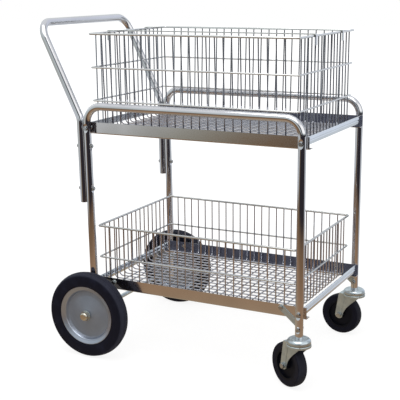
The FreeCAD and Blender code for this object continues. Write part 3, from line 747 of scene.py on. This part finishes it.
class CART_OT_discs(bpy.types.Operator):
    """Pressed wheel discs with a round-bottomed dish and a stepped, rolled lip, in place of the plain ones"""

    bl_idname = "cart.discs"
    bl_label = "Wheel discs"

    def execute(self, context):
        colours = context.scene.cart_colours
        for side in SIDES:
            node = "rear_disc_" + side
            low, high = corners(node)
            scale = (high.z - low.z) / 2 / max(radius for radius, distance in DISC_HALF)
            halves = []
            for way in (-1, 1):
                outline = [(radius * scale, distance * way) for radius, distance in DISC_HALF]
                halves.append(turned_ring(node + "_half", middle(node), outline))
            disc = settle(join(halves, node + "_pressed"))
            dress(disc, disc_finish("wheel disc " + side, colours.disc, colours.lip, middle(node)))
            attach(disc, "rear_wheel_" + side)
            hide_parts(node)
        return {"FINISHED"}


def rolled_strip(name, start_y, outline, run):
    """A strip of one section: a corner drawn out along the outline, filled, and drawn out along Y."""
    deselect()
    x, z = outline[0]
    bpy.ops.mesh.primitive_plane_add(size=0.001, location=(x, start_y, z))
    strip = start_shaping(name)
    bpy.ops.mesh.merge(type="CENTER")
    for point, following in zip(outline, outline[1:] + outline[:1]):
        step = (following[0] - point[0], 0, following[1] - point[1])
        bpy.ops.mesh.extrude_vertices_move(TRANSFORM_OT_translate={"value": step})
    bpy.ops.mesh.select_all(action="SELECT")
    bpy.ops.mesh.remove_doubles(threshold=MERGE_GAP)
    bpy.ops.mesh.edge_face_add()
    extrude((0, run, 0))
    bpy.ops.object.mode_set(mode="OBJECT")
    return strip


class CART_OT_bars(bpy.types.Operator):
    """Cross bars with a pressed groove along the face, in place of the plain ones"""

    bl_idname = "cart.bars"
    bl_label = "Cross bars"

    def execute(self, context):
        finish = chrome_finish("bar plating", context.scene.cart_colours.bar, shine=0.1, haze=0.08)
        for node, way in BAR_FACES.items():
            low, high = corners(node)
            face = high.x if way > 0 else low.x
            outline = [(face + depth * way, low.z + height) for depth, height in BAR_SECTION]
            bar = settle(rolled_strip(node + "_rolled", low.y, outline, high.y - low.y), angle=20.0)
            dress(bar, finish)
            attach(bar, "frame")
            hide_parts(node)
        return {"FINISHED"}


class CART_OT_finishes(bpy.types.Operator):
    """Gives every other piece of the cart its finish"""

    bl_idname = "cart.finishes"
    bl_label = "Finishes"

    def execute(self, context):
        colours = context.scene.cart_colours
        slots = {
            "chrome_tube": chrome_finish("chrome tube", colours.chrome, shine=0.04, haze=0.04),
            "zinc": zinc_finish("bright zinc", colours.zinc, shine=0.2),
            "plated_strip": chrome_finish("bright strip", colours.rim, shine=0.1, haze=0.06),
            "brass_plate": zinc_finish("yellow zinc", colours.brass, shine=0.1),
            "core": moulded_finish("dark core", colours.core),
        }
        for part in frame["record"]["subparts"]:
            node, slot = part["node"], part["material_slot"]
            if slot in slots:
                dress(frame["nodes"][node], slots[slot])
            elif slot == "chrome_angle":
                low, high = corners(node)
                outer = max(abs(low.y), abs(high.y))
                # The inner faces of the deck angles take a painted shade in the inside colour
                finish = angle_plating_with_painted_shade(
                    node + " plating", colours.angle, colours.inside, outer, low.z, shine=0.1, haze=0.06)
                dress(frame["nodes"][node], finish)
        dull = zinc_finish("dull zinc", colours.dull_zinc, shine=0.36)
        bolt = zinc_finish("bolt zinc", colours.bolt, shine=0.12)
        for nodes, finish in ((DULL_NODES, dull), (BOLT_NODES, bolt)):
            for node in nodes:
                dress(frame["nodes"][node], finish)
        tread = darker(colours.tread, share=0.6)
        for side in SIDES:
            node = "caster_tyre_" + side
            low, high = corners(node)
            radius = (high.z - low.z) / 2
            dress(frame["nodes"][node], rubber_finish(
                "caster rubber " + side, colours.rubber, tread, middle(node), radius))
        return {"FINISHED"}


def mirror_only(sheet):
    """Lets only reflections show a sheet of the stage."""
    sheet.visible_camera = False
    sheet.visible_diffuse = False
    sheet.visible_shadow = False
    sheet.visible_transmission = False


def card(name, side, height, material):
    """A square sheet of the stage, level at its height."""
    deselect()
    bpy.ops.mesh.primitive_plane_add(size=side, location=(0, 0, height))
    sheet = bpy.context.object
    sheet.name = name
    bpy.ops.object.transform_apply(location=True, rotation=True, scale=True)
    dress(sheet, material)
    return sheet


def dome(name, radius, material):
    """The upper half of a large ball round the studio."""
    deselect()
    bpy.ops.mesh.primitive_uv_sphere_add(segments=48, ring_count=24, radius=radius)
    ball = bpy.context.object
    ball.name = name
    bpy.ops.object.mode_set(mode="EDIT")
    bpy.ops.mesh.select_all(action="SELECT")
    bpy.ops.mesh.bisect(plane_co=(0, 0, 0), plane_no=(0, 0, 1), clear_inner=True)
    bpy.ops.object.mode_set(mode="OBJECT")
    dress(ball, material)
    return ball


def even_light(name, strength):
    """Even light from all round, which the camera, reflections and glass see as plain white."""
    world = bpy.data.worlds.new(name)
    world.use_nodes = True
    tree = world.node_tree
    tree.nodes.clear()
    link = tree.links.new
    ray = tree.nodes.new("ShaderNodeLightPath")
    lit = tree.nodes.new("ShaderNodeBackground")
    lit.inputs["Strength"].default_value = strength
    white = tree.nodes.new("ShaderNodeBackground")
    white.inputs["Color"].default_value = (*WHITE, 1.0)
    white.inputs["Strength"].default_value = 1.0
    mirrored = tree.nodes.new("ShaderNodeMath")
    seen = tree.nodes.new("ShaderNodeMath")
    seen.use_clamp = True
    blend = tree.nodes.new("ShaderNodeMixShader")
    output = tree.nodes.new("ShaderNodeOutputWorld")
    link(ray.outputs["Is Camera Ray"], mirrored.inputs[0])
    link(ray.outputs["Is Glossy Ray"], mirrored.inputs[1])
    link(mirrored.outputs[0], seen.inputs[0])
    link(ray.outputs["Is Transmission Ray"], seen.inputs[1])
    link(seen.outputs[0], blend.inputs[0])
    link(lit.outputs[0], blend.inputs[1])
    link(white.outputs[0], blend.inputs[2])
    link(blend.outputs[0], output.inputs["Surface"])
    return world


class CART_OT_studio(bpy.types.Operator):
    """Camera at the picture's angle, pale floor, soft lamps and reflector cards"""

    bl_idname = "cart.studio"
    bl_label = "Studio"

    def execute(self, context):
        stage = context.scene.cart_stage
        azimuth, elevation, roll = stage.azimuth, stage.elevation, stage.roll
        back = Vector((sin(azimuth) * cos(elevation), -cos(azimuth) * cos(elevation), sin(elevation)))
        right = Vector((cos(azimuth), sin(azimuth), 0.0))
        up = back.cross(right)
        turned = right * cos(roll) + up * sin(roll)
        upright = up * cos(roll) - right * sin(roll)
        deselect()
        bpy.ops.object.camera_add(location=Vector(stage.target) + back * stage.distance)
        camera = bpy.context.object
        camera.matrix_world = Matrix.Translation(camera.location) @ Matrix(
            (turned, upright, back)).transposed().to_4x4()
        camera.data.lens = stage.lens
        camera.data.sensor_width = 36.0
        camera.data.clip_end = 60.0
        context.scene.camera = camera

        gap = 0.0005
        floor = white_stage("pale floor", PALE_FLOOR, stage.shade)
        card("floor", side=40.0, height=-gap, material=floor)
        mirror_only(card("low_card", side=24.0, height=gap, material=studio_card("studio card", stage)))
        mirror_only(dome("sky_dome", radius=11.0, material=studio_dome("studio sky", stage)))

        deselect()
        aim = Vector((0, 0, 0.5))
        bpy.ops.object.light_add(type="AREA", location=(0.3, -1.2, 3.2))
        lamp = bpy.context.object
        lamp.data.energy = stage.key
        lamp.data.size = 2.6
        lamp.rotation_euler = (aim - lamp.location).to_track_quat("-Z", "Y").to_euler()
        context.scene.world = even_light("even light", stage.fill)
        context.scene.view_settings.view_transform = "Standard"
        return {"FINISHED"}


OPERATORS = (
    CART_OT_basket_wires, CART_OT_tyres, CART_OT_discs, CART_OT_bars, CART_OT_finishes, CART_OT_studio,
)
GROUPS = {"cart_sizes": CartSizes, "cart_colours": CartColours, "cart_stage": CartStage}


class CART_PT_panel(bpy.types.Panel):
    """Lists the cart's pieces, and the sizes and colours that they take"""

    bl_label = "Mail cart"
    bl_space_type = "VIEW_3D"
    bl_region_type = "UI"
    bl_category = "Mail cart"

    def draw(self, context):
        for operator in OPERATORS:
            self.layout.operator(operator.bl_idname)
        for name, kind in GROUPS.items():
            for value in kind.__annotations__:
                self.layout.prop(getattr(context.scene, name), value)


def register():
    for name, group in GROUPS.items():
        bpy.utils.register_class(group)
        setattr(bpy.types.Scene, name, bpy.props.PointerProperty(type=group))
    for operator in OPERATORS:
        bpy.utils.register_class(operator)
    bpy.utils.register_class(CART_PT_panel)


def unregister():
    bpy.utils.unregister_class(CART_PT_panel)
    for operator in reversed(OPERATORS):
        bpy.utils.unregister_class(operator)
    for name, group in reversed(list(GROUPS.items())):
        delattr(bpy.types.Scene, name)
        bpy.utils.unregister_class(group)


def main():
    register()
    for obj in list(bpy.data.objects):
        if obj.type in ("LIGHT", "CAMERA"):
            bpy.data.objects.remove(obj)
    bpy.ops.cart.basket_wires()
    bpy.ops.cart.tyres()
    bpy.ops.cart.discs()
    bpy.ops.cart.bars()
    bpy.ops.cart.finishes()
    bpy.ops.cart.studio()


if __name__ == "__main__":
    main()
